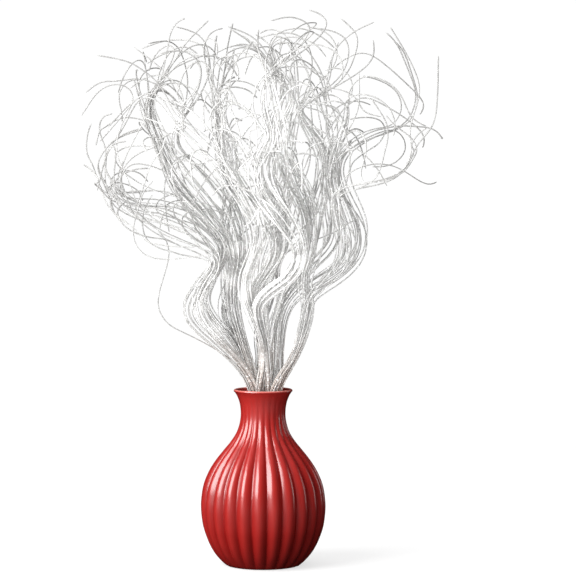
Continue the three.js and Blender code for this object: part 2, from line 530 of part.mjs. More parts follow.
// A stem's route for the extrusion, with a step at each of its points
class StemRoute extends THREE.Curve {
  constructor(points) {
    super();
    this.points = points;
  }

  getPoint(share, target = new THREE.Vector3()) {
    const last = this.points.length - 1;
    const i = Math.min(Math.floor(share * last + 1e-9), last - 1);
    return target.lerpVectors(this.points[i], this.points[i + 1], share * last - i);
  }

  getPointAt(share, target) {
    return this.getPoint(share, target);
  }

  getTangentAt(share, target = new THREE.Vector3()) {
    const last = this.points.length - 1;
    const i = Math.round(share * last);
    const before = this.points[Math.max(i - 1, 0)];
    const after = this.points[Math.min(i + 1, last)];
    return target.subVectors(after, before).normalize();
  }
}

function tube(points, radius, sides) {
  const corners = Array.from({ length: sides }, (_, i) => {
    const angle = (i / sides) * 2 * Math.PI;
    return new THREE.Vector2(radius * Math.cos(angle), radius * Math.sin(angle));
  });
  const extrudePath = new StemRoute(points);
  const steps = points.length - 1;
  const section = new THREE.Shape(corners);
  return solidOf(new THREE.ExtrudeGeometry(section, { steps, extrudePath, curveSegments: 1 }));
}

// The stems of a lock are gathered at their foot, where they stand on the floor of the vase
function lockSolid(rows, stems) {
  const [x, y, z] = rows[0];
  const share = (gatherHeight - z) / (rows[1][2] - z) / (rows.length - 1);
  const [topX, topY] = along(rows, share);
  const foot = [new THREE.Vector3(x, y, rootHeight), new THREE.Vector3(topX, topY, gatherHeight)];
  return stems.reduce((solid, stem) => solid.add(tube(stem.points, stemRadius, stemSides)),
    tube(foot, gatherRadius, gatherSides));
}

function spray() {
  const all = { ...locks, ...turnedLocks };
  const built = Object.entries(all).map(([name, lock], lockNumber) => {
    const rows = lockRoute(lock);
    const { stems: count = usualStems } = lock;
    const stems = Array.from({ length: count }, (_, k) => (
      { lock: name, points: stemPoints(lock, rows, k, lockNumber) }));
    return { name, rows, stems };
  });
  settle(built.flatMap(({ stems }) => stems));
  return built.map(({ name, rows, stems }) => meshOf(lockSolid(rows, stems), `stems_${name}`, glitter));
}

const group = new THREE.Group();
group.add(meshOf(vaseSolid(), 'vase', glaze));
for (const lock of spray()) group.add(lock);

export default group;
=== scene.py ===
import bpy
import numpy as np
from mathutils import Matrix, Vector


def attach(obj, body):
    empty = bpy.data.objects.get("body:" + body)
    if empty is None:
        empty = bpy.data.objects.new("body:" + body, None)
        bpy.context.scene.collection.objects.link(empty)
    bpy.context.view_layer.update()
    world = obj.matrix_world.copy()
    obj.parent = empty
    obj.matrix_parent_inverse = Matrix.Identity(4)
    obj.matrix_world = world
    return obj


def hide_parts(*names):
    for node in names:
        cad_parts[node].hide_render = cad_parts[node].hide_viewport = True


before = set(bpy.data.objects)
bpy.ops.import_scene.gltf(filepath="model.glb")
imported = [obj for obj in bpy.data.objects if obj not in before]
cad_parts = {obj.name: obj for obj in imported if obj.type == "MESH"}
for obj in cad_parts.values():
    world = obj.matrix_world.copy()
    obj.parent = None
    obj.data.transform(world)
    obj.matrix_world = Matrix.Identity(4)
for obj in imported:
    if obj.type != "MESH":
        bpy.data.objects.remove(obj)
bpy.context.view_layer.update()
mm = 0.001
print("frame loaded:", len(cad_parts), "nodes")

# Camera, level with the lower curls and a little above the mouth of the vase
cameraSet = {
    "stand": (0.0, -3.0, 0.47),   # metres, like everything that isn't said to be in millimetres
    "aim": (0.0282, 0.0, 0.3146),
    "lens": 166.05,
}


def addCamera(settings):
    cameraData = bpy.data.cameras.new("camera")
    cameraData.lens = settings["lens"]
    viewer = bpy.data.objects.new("camera", cameraData)
    viewer.location = settings["stand"]
    way = Vector(settings["aim"]) - Vector(settings["stand"])
    viewer.rotation_euler = way.to_track_quat("-Z", "Y").to_euler()
    bpy.context.collection.objects.link(viewer)
    bpy.context.scene.camera = viewer


addCamera(cameraSet)
print("camera placed")


# Helpers for meshes and materials

def newPiece(name, points, faces, material):
    # points: n by 3, in millimetres; faces: a list of arrays, each with one row of corners per face
    mesh = bpy.data.meshes.new(name)
    mesh.vertices.add(len(points))
    mesh.vertices.foreach_set("co", (points * mm).astype(np.float32).ravel())
    corners = np.concatenate([block.ravel() for block in faces])
    sizes = np.concatenate([np.full(len(block), block.shape[1]) for block in faces])
    mesh.loops.add(len(corners))
    mesh.loops.foreach_set("vertex_index", corners.astype(np.int32))
    mesh.polygons.add(len(sizes))
    mesh.polygons.foreach_set("loop_start", (np.cumsum(sizes) - sizes).astype(np.int32))
    mesh.update(calc_edges=True)
    mesh.validate()
    mesh.shade_smooth()
    mesh.materials.append(material)
    piece = bpy.data.objects.new(name, mesh)
    bpy.context.collection.objects.link(piece)
    return piece


def fullTurn(count):
    # the angles of so many points, evenly about a full turn
    return 2 * np.pi * np.arange(count) / count


def ringFaces(tubes, rings, around):
    # the points come tube by tube and ring by ring, the lowest first: four-sided faces from each point to
    # the next one around and the two above them, and a cap on the first and the last ring of each tube
    tube, ring, corner = np.meshgrid(np.arange(tubes), np.arange(rings - 1), np.arange(around),
                                     indexing="ij")
    base = (tube * rings + ring) * around
    beside = (corner + 1) % around
    walls = np.stack([base + corner, base + beside, base + around + beside, base + around + corner],
                     axis=-1)
    first = np.arange(tubes)[:, None] * rings * around + np.arange(around)
    caps = np.concatenate([first[:, ::-1], first + (rings - 1) * around])
    return walls.reshape(-1, 4), caps


def setAttribute(piece, name, values):
    layer = piece.data.attributes.new(name, "FLOAT", "POINT")
    layer.data.foreach_set("value", values.astype(np.float32).ravel())


def newMaterial(name):
    material = bpy.data.materials.new(name)
    material.use_nodes = True
    return material, material.node_tree.nodes["Principled BSDF"]


def addNode(shader, kind, inputs=(), **settings):
    # inputs: what goes into each socket, either a number or colour, or the output of another node
    tree = shader.id_data
    node = tree.nodes.new(kind)
    for key, value in settings.items():
        setattr(node, key, value)
    for socket, value in dict(inputs).items():
        if isinstance(value, bpy.types.NodeSocket):
            tree.links.new(value, node.inputs[socket])
        else:
            node.inputs[socket].default_value = value
    return node


def ramp(shader, value, stops):
    # stops: (place, colour) in order; the first two are the ramp's own
    node = addNode(shader, "ShaderNodeValToRGB", {"Fac": value})
    elements = node.color_ramp.elements
    for _ in stops[2:]:
        elements.new(0.5)
    for element, (place, colour) in zip(elements, stops):
        element.position = place
        element.color = (*colour, 1)
    return node.outputs["Color"]


def blend(shader, share, first, second):
    # from the first colour, where share is 0, to the second, where it is 1
    mix = addNode(shader, "ShaderNodeMix", {"Factor": share, "A": first, "B": second}, data_type="RGBA")
    return mix.outputs[2]


def times(shader, first, second):
    return addNode(shader, "ShaderNodeMath", {0: first, 1: second}, operation="MULTIPLY").outputs[0]


def link(shader, output, socket):
    shader.id_data.links.new(output, shader.inputs[socket])


def smoothRows(rows, shares):
    # smooth curve through rows of numbers, at shares of the way from the first to the last: each stretch
    # is a cubic whose slope at a row is half the step from the row before to the row after
    rows = np.asarray(rows, float)
    place = np.clip(shares, 0, 1) * (len(rows) - 1)
    i = np.minimum(place.astype(int), len(rows) - 2)
    w = (place - i)[..., None]
    padded = np.vstack([2 * rows[0] - rows[1], rows, 2 * rows[-1] - rows[-2]])
    a, b, c, d = padded[i], padded[i + 1], padded[i + 2], padded[i + 3]
    t0 = (c - a) / 2
    t1 = (d - b) / 2
    return b + t0 * w + (3 * (c - b) - 2 * t0 - t1) * w**2 + (2 * (b - c) + t0 + t1) * w**3


# Vase, in millimetres: a profile turned about the upright axis, whose radius dips between the ribs
vaseSet = {
    "ribs": 24,
    "pointsPerRib": 14,
    "ribPhase": 3.7,               # degrees from the front to the nearest groove
    # height, radius at the rib crests, depth of the grooves
    "outside": [
        (0, 42.6, 1.2), (11, 53, 2.8), (21, 59.6, 3.7), (32, 64.6, 4.2), (46, 68.9, 4.4), (64, 70.9, 4.4),
        (78, 70.2, 4.4), (92, 67.6, 4.4), (106, 61.9, 4.2), (118, 54.6, 3.8), (130, 45.2, 3),
        (140, 37, 2.3), (150, 30.6, 1.4), (160, 27, 0.9), (171, 25.4, 0.5), (183, 26.4, 0.3),
        (192, 29.4, 0.15), (198.2, 33.2, 0.1),
    ],
    "deepest": 4.4,                # groove depth of the strongest groove red: pooled glaze, painted shade
    "inside": [
        (6, 36), (26, 53.4), (68, 63), (110, 52.4), (126, 42), (140, 31.4), (154, 24), (172, 20.8),
        (187, 23), (195, 27.2), (198.4, 29.7),
    ],
    "lip": {"centre": (31.6, 198.2), "radius": 1.8, "from": -20, "to": 165},   # degrees from level
    "rim": (198.4, 1.2),           # height where the glaze begins to thin, and over how much it thins
    "rings": {"outside": 110, "lip": 12, "inside": 60},
    # radius and height, from the middle of the underside to the foot ring that it stands on
    "underside": [(0.01, 1.6), (20, 1.6), (32.9, 1.6), (33.9, 1.12), (34.5, 0), (37.5, 0), (40.5, 0)],
    "footEdge": (42.1, 0.35, 1),   # radius, height and depth of groove where the foot rounds
    "floor": [(30, 5.6), (18, 5.4), (0.01, 5.4)],
}


def vaseProfile(settings):
    # rows of radius, height and depth of groove: the underside, the outside, the lip as part of a circle,
    # the inside and the floor
    rings, lip = settings["rings"], settings["lip"]
    outside = smoothRows(settings["outside"], np.linspace(0, 1, rings["outside"]))[:, [1, 0, 2]]
    outside = np.vstack([settings["footEdge"], outside[2:]])
    inside = smoothRows(settings["inside"], np.linspace(1, 0, rings["inside"]))[:, [1, 0]]
    turn = np.radians(np.linspace(lip["from"], lip["to"], rings["lip"]))
    edge = lip["centre"] + lip["radius"] * np.column_stack([np.cos(turn), np.sin(turn)])
    plain = [np.column_stack([part, np.zeros(len(part))])
             for part in (settings["underside"], edge, inside, settings["floor"])]
    return np.vstack([plain[0], outside, *plain[1:]])


def makeVase(settings, material):
    # each ring's radius is the profile's, less its depth of groove times (1 - crest), where the crest is
    # |sin(pi ribs turns)|
    profile = vaseProfile(settings)
    around = settings["ribs"] * settings["pointsPerRib"]
    turns = np.arange(around) / around
    angle = 2 * np.pi * turns + np.radians(settings["ribPhase"])
    crest = np.abs(np.sin(np.pi * settings["ribs"] * turns))   # 0 in a groove, 1 on a rib
    radius = profile[:, :1] - profile[:, 2:] * (1 - crest)
    height = profile[:, 1:2] + 0 * radius
    points = np.stack([radius * np.cos(angle), radius * np.sin(angle), height], axis=2)
    vase = newPiece("ribbed_vase", points.reshape(-1, 3), ringFaces(1, len(profile), around), material)
    # darker red in the grooves: partly pooled glaze, partly painted shade
    setAttribute(vase, "poolAndShade", profile[:, 2:] / settings["deepest"] * (1 - crest))
    rimFrom, rimOver = settings["rim"]
    setAttribute(vase, "rim", np.clip((height - rimFrom) / rimOver, 0, 1))
    return vase


glazeSet = {
    "cloud": {"Scale": 22, "Detail": 3},
    "crestReds": [(0.3, (0.325, 0.015, 0.0125)), (0.7, (0.37, 0.019, 0.0155))],
    "grooveRed": (0.24, 0.005, 0.004, 1),      # where it pools, with painted shade
    "rimPink": (0.66, 0.2, 0.17, 1),           # where it thins over the clay
    "peel": {"Scale": 260, "Detail": 2},       # its faint orange peel
    "peelBump": {"Strength": 0.05, "Distance": 0.0006},
    "roughness": 0.34, "coat": 0.9, "coatRoughness": 0.22,
}


def glazeMaterial(settings):
    material, shader = newMaterial("red_glaze")
    place = addNode(shader, "ShaderNodeTexCoord").outputs["Object"]
    cloud = addNode(shader, "ShaderNodeTexNoise", {"Vector": place, **settings["cloud"]}).outputs["Fac"]
    crestRed = ramp(shader, cloud, settings["crestReds"])
    # painted shade in the grooves, together with the glaze that pools there
    poolAndShade = addNode(shader, "ShaderNodeAttribute", attribute_name="poolAndShade").outputs["Fac"]
    body = blend(shader, poolAndShade, crestRed, settings["grooveRed"])
    rim = addNode(shader, "ShaderNodeAttribute", attribute_name="rim").outputs["Fac"]
    link(shader, blend(shader, rim, body, settings["rimPink"]), "Base Color")
    peel = addNode(shader, "ShaderNodeTexNoise", {"Vector": place, **settings["peel"]}).outputs["Fac"]
    bump = addNode(shader, "ShaderNodeBump", {"Height": peel, **settings["peelBump"]})
    link(shader, bump.outputs["Normal"], "Normal")
    shader.inputs["Roughness"].default_value = settings["roughness"]
    shader.inputs["Coat Weight"].default_value = settings["coat"]
    shader.inputs["Coat Roughness"].default_value = settings["coatRoughness"]
    return material


vase = makeVase(vaseSet, glazeMaterial(glazeSet))
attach(vase, "root")
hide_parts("vase")
print("vase made")

# Stems, in millimetres. Each lock starts at a place in the mouth and climbs through rows of x, y, z and
# how far its stems spread. Its ends are the ways that the loose tips take out of it, after so many rows
# of the route as leaving says, or after the last. Its glitter is the share of it that it has, if not all
locks = {
    "left_sweep": {
        "mouth": (-15, -5), "stems": 12, "glitter": 0.65,
        "route": [
            (-30, -8, 228, 4), (-44, -13, 243, 5), (-60, -17, 258, 6), (-76, -20, 273, 7),
            (-84, -20, 287, 8), (-82, -16, 301, 10), (-73, -11, 315, 11), (-62, -6, 328, 11),
            (-52, -2, 340, 9), (-45, 1, 354, 8), (-46, 3, 366, 9), (-55, 4, 380, 12),
            (-69, 4, 396, 13), (-86, 2, 414, 13), (-101, -4, 434, 12), (-110, -8, 456, 9),
            (-117, -10, 476, 8), (-125, -12, 495, 8), (-130, -10, 514, 7), (-126, -8, 531, 5),
            (-119, -8, 541, 4)],
        "ends": [
            [(-110, -8, 552), (-98, -10, 569), (-88, -12, 586), (-75, -14, 601), (-61, -16, 615)],
            [(-110, -4, 545), (-100, 0, 538), (-92, 4, 528), (-86, 8, 517)],
            [(-108, -12, 553), (-96, -16, 566), (-82, -20, 574), (-68, -24, 576), (-54, -28, 570),
             (-45, -32, 558)],
            [(-112, -4, 553), (-103, 0, 568), (-99, 4, 582), (-105, 8, 588), (-115, 12, 584),
             (-124, 16, 574), (-129, 20, 560)]]},
    "left_stray": {
        "mouth": (-16, 5), "stems": 1, "glitter": 0.2,
        "route": [
            (-31, 2, 228, 3), (-58, -2, 247, 4), (-84, -8, 262, 4), (-106, -12, 274, 4),
            (-117, -12, 292, 4), (-116, -10, 310, 4), (-110, -6, 330, 4), (-105, 0, 350, 4),
            (-108, 6, 368, 4), (-124, 12, 385, 4), (-148, 14, 395, 4), (-168, 14, 406, 4),
            (-176, 12, 420, 4), (-183, 10, 436, 4)],
        "ends": [
            [(-188, 8, 450), (-184, 6, 463), (-175, 4, 475), (-164, 2, 484), (-150, 0, 491),
             (-138, -2, 494)]]},
    "left_mane": {
        "mouth": (-9, -11), "stems": 12, "leaving": (13, 13, 8, 13, 13),
        "route": [
            (-24, -20, 230, 4), (-38, -29, 247, 5), (-52, -35, 263, 7), (-66, -36, 280, 9),
            (-72, -32, 299, 10), (-66, -24, 319, 10), (-56, -16, 337, 8), (-58, -12, 350, 9),
            (-74, -14, 361, 12), (-93, -18, 370, 13), (-112, -24, 380, 13), (-129, -28, 391, 12),
            (-142, -32, 404, 10)],
        "ends": [
            [(-147, -32, 416), (-153, -28, 434), (-163, -22, 452), (-167, -18, 470),
             (-164, -14, 488), (-156, -12, 506), (-148, -10, 520), (-147, -8, 531), (-153, -8, 540),
             (-165, -10, 544), (-180, -12, 540), (-191, -14, 529), (-203, -16, 509)],
            [(-146, -36, 414), (-154, -38, 428), (-157, -38, 442), (-152, -36, 455),
             (-142, -34, 465), (-130, -32, 471), (-120, -32, 474)],
            [(-78, -20, 350), (-100, -28, 347), (-121, -34, 348), (-136, -38, 355),
             (-144, -40, 368), (-145, -42, 384), (-141, -44, 398), (-137, -46, 412),
             (-132, -48, 426), (-122, -50, 436)],
            [(-137, -38, 416), (-132, -42, 430), (-128, -46, 444), (-122, -50, 458),
             (-112, -54, 470), (-108, -58, 484)],
            [(-152, -34, 414), (-164, -32, 424), (-174, -30, 437), (-179, -28, 452),
             (-176, -26, 467), (-166, -24, 477), (-153, -24, 480)]]},
    "left_outer": {
        "mouth": (-13, 12), "stems": 17,
        "route": [
            (-24, 16, 232, 4), (-37, 20, 256, 6), (-58, 26, 279, 7), (-67, 30, 301, 7),
            (-59, 28, 326, 8), (-48, 26, 349, 8), (-56, 28, 369, 14), (-75, 32, 385, 15),
            (-96, 36, 396, 16), (-118, 38, 403, 14), (-140, 37, 405, 12), (-158, 35, 411, 9),
            (-169, 32, 421, 7)],
        "ends": [
            [(-176, 28, 432), (-182, 24, 443), (-186, 20, 454), (-182, 16, 466), (-172, 14, 478),
             (-160, 12, 486), (-146, 12, 491), (-136, 12, 494)],
            [(-174, 34, 431), (-172, 38, 440), (-163, 42, 446), (-151, 46, 447), (-140, 50, 443),
             (-132, 54, 434)],
            [(-177, 28, 434), (-183, 24, 449), (-179, 20, 464), (-168, 16, 482), (-160, 14, 500),
             (-162, 12, 516), (-164, 10, 529), (-160, 10, 541), (-150, 12, 549), (-137, 14, 550)],
            [(-173, 36, 429), (-168, 42, 434), (-156, 46, 432), (-143, 50, 424), (-138, 52, 412)]]},
    "left_fan": {
        "mouth": (-10, 3), "stems": 13, "leaving": (17, 17, 11, 17),
        "route": [
            (-18, 2, 232, 4), (-26, 6, 256, 5), (-34, 10, 282, 6), (-37, 12, 306, 6),
            (-36, 12, 326, 6), (-34, 10, 344, 7), (-37, 4, 361, 10), (-45, -4, 381, 12),
            (-58, -10, 402, 14), (-74, -14, 423, 14), (-92, -16, 444, 12), (-106, -14, 464, 8),
            (-114, -12, 480, 8), (-124, -8, 497, 8), (-128, -2, 514, 6), (-124, 2, 530, 5),
            (-119, 4, 540, 4)],
        "ends": [
            [(-109, 8, 552), (-96, 12, 563), (-80, 16, 571), (-64, 20, 577), (-48, 24, 574),
             (-36, 28, 566), (-29, 32, 554)],
            [(-112, 10, 552), (-105, 14, 566), (-95, 18, 578), (-82, 22, 588), (-68, 26, 590),
             (-57, 30, 584), (-51, 34, 573)],
            [(-106, -20, 452), (-122, -26, 457), (-140, -30, 458), (-152, -32, 450),
             (-157, -34, 438), (-154, -36, 424)],
            [(-108, 8, 548), (-96, 14, 548), (-86, 20, 540), (-80, 26, 528), (-80, 32, 514)]]},
    "left_centre": {
        "mouth": (-5, 0), "stems": 10,
        "route": [
            (-14, 6, 232, 4), (-22, 9, 256, 5), (-29, 14, 282, 6), (-32, 19, 306, 7),
            (-30, 26, 328, 7), (-28, 31, 349, 8), (-28, 38, 368, 10), (-33, 46, 389, 14),
            (-45, 50, 411, 15), (-62, 48, 432, 15), (-82, 42, 454, 12), (-98, 38, 474, 8),
            (-98, 36, 492, 5), (-92, 36, 506, 5)],
        "ends": [
            [(-84, 38, 517), (-75, 42, 528), (-68, 46, 541), (-62, 50, 556), (-61, 54, 572),
             (-66, 58, 586), (-76, 62, 594), (-90, 66, 597), (-106, 70, 597), (-122, 74, 594),
             (-140, 78, 587)],
            [(-94, 38, 519), (-104, 40, 532), (-118, 42, 543), (-134, 44, 551), (-151, 44, 552),
             (-168, 44, 549), (-182, 44, 549), (-193, 44, 544), (-202, 44, 536)],
            [(-94, 34, 518), (-100, 30, 529), (-112, 26, 536), (-127, 22, 535), (-143, 18, 527),
             (-160, 14, 512), (-175, 10, 496)],
            [(-82, 36, 519), (-72, 34, 534), (-64, 32, 552), (-62, 30, 572), (-64, 28, 588),
             (-72, 26, 600), (-84, 24, 606), (-99, 22, 610)]]},
    "inner_wave": {
        "mouth": (-3, -12), "stems": 14,
        "route": [
            (0, -22, 232, 4), (-2, -34, 256, 5), (-11, -43, 281, 6), (-19, -50, 304, 7),
            (-20, -55, 328, 8), (-10, -64, 354, 8), (-5, -74, 376, 9), (-10, -82, 398, 10),
            (-22, -84, 420, 10), (-36, -80, 442, 11), (-50, -72, 462, 11), (-67, -66, 479, 11),
            (-84, -60, 494, 8), (-94, -58, 502, 5)],
        "ends": [
            [(-102, -58, 513), (-108, -60, 528), (-119, -64, 545), (-134, -68, 558),
             (-152, -72, 568), (-182, -76, 574)],
            [(-102, -54, 514), (-110, -50, 527), (-121, -46, 534), (-136, -42, 531),
             (-150, -38, 517), (-164, -34, 500), (-182, -30, 480)],
            [(-93, -64, 514), (-84, -70, 524), (-72, -76, 540), (-68, -82, 556), (-74, -88, 570),
             (-86, -92, 577), (-100, -96, 578), (-112, -100, 575)],
            [(-92, -56, 512), (-82, -52, 524), (-72, -48, 540), (-68, -46, 556), (-74, -44, 568),
             (-84, -42, 562), (-91, -40, 548), (-95, -38, 534)]]},
    "middle_wave": {
        "mouth": (2, -4), "stems": 16, "leaving": (15, 15, 15, 15, 12, 11),
        "route": [
            (2, -10, 232, 4), (1, -22, 256, 5), (-7, -31, 280, 6), (-13, -36, 302, 7),
            (-7, -41, 320, 8), (4, -48, 336, 8), (14, -58, 353, 9), (16, -68, 374, 11),
            (6, -76, 396, 12), (-12, -76, 420, 13), (-28, -66, 444, 13), (-38, -54, 468, 12),
            (-42, -44, 490, 10), (-43, -38, 506, 6), (-48, -34, 522, 5)],
        "ends": [
            [(-55, -32, 538), (-60, -30, 556), (-63, -28, 572), (-64, -26, 588), (-60, -24, 598),
             (-53, -22, 604), (-45, -20, 606)],
            [(-54, -38, 538), (-57, -42, 556), (-50, -46, 570), (-40, -50, 574), (-31, -54, 567),
             (-27, -58, 556), (-29, -62, 545)],
            [(-56, -40, 540), (-63, -46, 560), (-67, -52, 580), (-63, -58, 593), (-54, -64, 592),
             (-50, -70, 582), (-52, -76, 570)],
            [(-50, -28, 534), (-44, -22, 544), (-30, -16, 548), (-14, -10, 545), (-2, -4, 536)],
            [(-30, -50, 484), (-17, -46, 500), (-2, -42, 512), (12, -38, 516), (24, -34, 508),
             (30, -30, 494)],
            [(-24, -64, 460), (-14, -60, 476), (-2, -56, 488), (12, -52, 494), (26, -48, 492),
             (38, -44, 482)]]},
    "right_wave": {
        "mouth": (6, -11), "stems": 16, "leaving": (19, 19, 19, 19, 14, 12),
        "route": [
            (4, -20, 232, 4), (1, -33, 256, 5), (-5, -45, 279, 6), (-6, -56, 299, 7),
            (8, -68, 315, 8), (26, -81, 328, 8), (38, -95, 346, 9), (38, -104, 367, 11),
            (28, -106, 388, 13), (12, -102, 410, 13), (0, -96, 430, 13), (-4, -88, 448, 12),
            (2, -78, 468, 10), (9, -72, 484, 6), (4, -70, 502, 10), (-2, -68, 520, 12),
            (-1, -66, 540, 8), (8, -64, 553, 5), (15, -64, 560, 4)],
        "ends": [
            [(27, -62, 568), (42, -60, 578), (57, -58, 590), (68, -56, 603), (70, -54, 613),
             (62, -52, 621), (51, -50, 625)],
            [(24, -66, 571), (38, -70, 584), (48, -74, 596), (51, -78, 605), (44, -82, 612),
             (28, -86, 616), (8, -90, 611)],
            [(26, -66, 570), (42, -70, 581), (58, -74, 585), (74, -78, 581), (85, -82, 571),
             (88, -86, 558), (85, -90, 546)],
            [(28, -60, 563), (46, -56, 562), (62, -52, 556), (72, -48, 546), (76, -44, 534)],
            [(0, -74, 498), (-12, -76, 512), (-26, -78, 522), (-42, -80, 524), (-54, -82, 516),
             (-60, -84, 502)],
            [(-10, -84, 462), (-20, -80, 478), (-32, -76, 490), (-46, -72, 494), (-58, -68, 488)]]},
    "centre": {
        "mouth": (1, 10), "stems": 14, "leaving": (16, 16, 16, 16, 11),
        "route": [
            (3, 14, 232, 4), (5, 17, 257, 5), (2, 25, 282, 6), (0, 34, 304, 7), (6, 43, 324, 9),
            (16, 52, 347, 9), (24, 58, 372, 11), (20, 58, 398, 12), (8, 54, 424, 13),
            (3, 48, 450, 13), (8, 44, 476, 11), (16, 42, 498, 8), (26, 40, 518, 12),
            (28, 38, 538, 10), (20, 36, 554, 5), (13, 36, 561, 4)],
        "ends": [
            [(5, 38, 574), (-3, 40, 588), (-14, 42, 599), (-27, 44, 606), (-40, 46, 611)],
            [(4, 34, 573), (-8, 32, 586), (-20, 30, 597), (-36, 28, 607)],
            [(2, 30, 573), (-8, 24, 582), (-21, 18, 586), (-32, 12, 584), (-42, 6, 578)],
            [(3, 42, 570), (-7, 48, 576), (-19, 54, 577), (-31, 60, 572), (-39, 66, 562),
             (-45, 72, 552)],
            [(0, 44, 490), (-10, 46, 506), (-22, 48, 518), (-36, 50, 524), (-48, 52, 518),
             (-54, 54, 504)]]},
    "right_loop": {
        "mouth": (19, -9), "stems": 12,
        "route": [
            (32, -14, 230, 5), (41, -23, 254, 7), (47, -32, 276, 8), (50, -37, 296, 8),
            (47, -34, 315, 8), (48, -26, 335, 10), (54, -22, 356, 14), (56, -24, 382, 15),
            (50, -30, 406, 15), (40, -36, 430, 15), (28, -36, 452, 12), (17, -32, 470, 8),
            (10, -30, 484, 5), (11, -28, 502, 10), (21, -26, 520, 12), (26, -24, 540, 10),
            (20, -22, 554, 5), (14, -22, 561, 4)],
        "ends": [
            [(8, -20, 574), (6, -18, 588), (14, -16, 599), (28, -14, 605), (44, -12, 606),
             (58, -10, 601), (70, -8, 594), (80, -6, 585)],
            [(6, -24, 572), (-2, -28, 582), (-13, -32, 587), (-26, -36, 588), (-38, -40, 584)],
            [(9, -26, 572), (7, -30, 584), (16, -34, 592), (31, -38, 595), (47, -42, 592),
             (60, -46, 585), (70, -50, 573)],
            [(16, -20, 572), (27, -16, 579), (40, -12, 575), (49, -8, 565), (58, -4, 557),
             (69, 0, 550)]]},
    "right_stream": {
        "mouth": (12, -2), "stems": 11,
        "route": [
            (15, 5, 232, 4), (16, 15, 256, 5), (17, 23, 279, 6), (25, 27, 300, 6), (38, 26, 318, 8),
            (52, 20, 336, 9), (67, 14, 350, 9), (79, 8, 366, 9), (82, 4, 384, 10), (80, 2, 402, 11),
            (77, 4, 420, 10), (74, 8, 440, 9), (73, 12, 459, 10), (68, 14, 478, 10),
            (56, 12, 496, 8), (46, 10, 508, 5), (42, 10, 515, 4)],
        "ends": [
            [(50, 8, 523), (64, 6, 533), (84, 4, 543), (104, 2, 555), (118, 0, 566), (125, -2, 578),
             (124, -4, 594)],
            [(50, 12, 522), (66, 16, 532), (84, 20, 545), (97, 24, 560), (104, 28, 577),
             (108, 32, 594), (103, 36, 607), (89, 40, 620)],
            [(53, 6, 525), (67, 2, 537), (75, -2, 553), (76, -6, 570), (82, -10, 585),
             (94, -14, 597), (108, -18, 606), (124, -22, 613)],
            [(48, 14, 525), (58, 18, 540), (72, 22, 554), (82, 26, 568), (85, 30, 583),
             (79, 34, 598), (67, 38, 607), (50, 42, 611)]]},
    "right_branch": {
        "mouth": (10, 8),
        "route": [
            (13, 18, 232, 4), (17, 34, 256, 5), (20, 48, 280, 6), (28, 58, 301, 7),
            (40, 66, 319, 8), (51, 69, 337, 10), (57, 70, 356, 12), (61, 76, 380, 12),
            (65, 82, 406, 12), (72, 84, 432, 12), (72, 80, 458, 11), (61, 72, 482, 10),
            (46, 66, 503, 5), (42, 64, 514, 4)],
        "ends": [
            [(47, 62, 527), (62, 60, 545), (82, 60, 566), (102, 62, 580), (120, 64, 583),
             (136, 66, 573), (153, 68, 559), (170, 70, 543), (183, 70, 530), (186, 70, 520),
             (181, 70, 511)],
            [(48, 66, 524), (60, 70, 533), (78, 74, 545), (91, 78, 559), (98, 82, 576),
             (98, 86, 593), (90, 90, 604), (74, 94, 610), (56, 98, 612)],
            [(50, 66, 521), (64, 68, 525), (80, 70, 520), (92, 72, 508), (98, 74, 494)],
            [(46, 68, 526), (54, 74, 543), (52, 80, 560), (42, 86, 572), (28, 92, 576)]]},
    "right_lobe": {
        "mouth": (21, 1),
        "route": [
            (20, -1, 232, 4), (21, -5, 256, 5), (24, -9, 279, 6), (32, -13, 298, 6),
            (46, -14, 312, 8), (60, -15, 321, 10), (73, -17, 329, 11), (85, -20, 338, 11),
            (94, -24, 350, 11), (96, -28, 366, 11), (93, -30, 382, 11), (88, -28, 398, 10),
            (83, -22, 413, 9), (79, -14, 428, 8), (76, -8, 446, 9), (78, -6, 464, 10),
            (84, -8, 482, 9), (91, -12, 499, 6), (93, -16, 513, 5)],
        "ends": [
            [(92, -18, 528), (97, -20, 543), (110, -22, 553), (127, -24, 551), (143, -26, 543),
             (154, -28, 530), (160, -30, 516), (168, -32, 504), (182, -34, 497)],
            [(95, -20, 525), (106, -24, 532), (120, -28, 531), (133, -32, 525), (143, -36, 514),
             (147, -40, 500), (145, -44, 486)],
            [(91, -18, 521), (83, -22, 525), (71, -26, 525), (58, -30, 521)],
            [(96, -14, 526), (100, -12, 540), (96, -10, 554), (84, -8, 562), (70, -6, 560)]]},
    "right_crown": {
        "mouth": (10, -19), "stems": 5, "leaving": (17, 17, 13, 17),
        "route": [
            (29, -24, 232, 5), (38, -36, 256, 7), (44, -47, 279, 8), (48, -54, 299, 8),
            (58, -52, 316, 8), (71, -48, 329, 10), (83, -46, 344, 11), (87, -44, 362, 11),
            (84, -42, 382, 11), (80, -42, 402, 9), (79, -44, 417, 7), (86, -46, 426, 6),
            (104, -48, 431, 5), (126, -48, 434, 5), (145, -46, 439, 6), (158, -42, 447, 6),
            (166, -38, 459, 5)],
        "ends": [
            [(168, -33, 472), (166, -28, 487), (168, -24, 503), (174, -22, 520), (177, -20, 538),
             (173, -18, 554), (165, -16, 571), (156, -14, 587), (149, -12, 598), (143, -10, 608)],
            [(171, -34, 469), (168, -30, 480), (159, -26, 489), (147, -22, 498), (138, -18, 509)],
            [(122, -52, 440), (130, -54, 454), (134, -56, 470), (138, -58, 486), (136, -60, 502),
             (128, -62, 515), (120, -64, 526)],
            [(169, -42, 468), (166, -46, 476), (172, -50, 487), (181, -54, 495)]]},
    "right_far": {
        "mouth": (18, 10), "stems": 8,
        "route": [
            (35, 16, 233, 5), (44, 26, 257, 7), (49, 34, 280, 8), (53, 39, 300, 9),
            (66, 38, 313, 10), (84, 34, 325, 10), (100, 32, 339, 10), (110, 30, 355, 10),
            (113, 28, 373, 10), (109, 26, 391, 10), (101, 24, 408, 9), (93, 22, 425, 8),
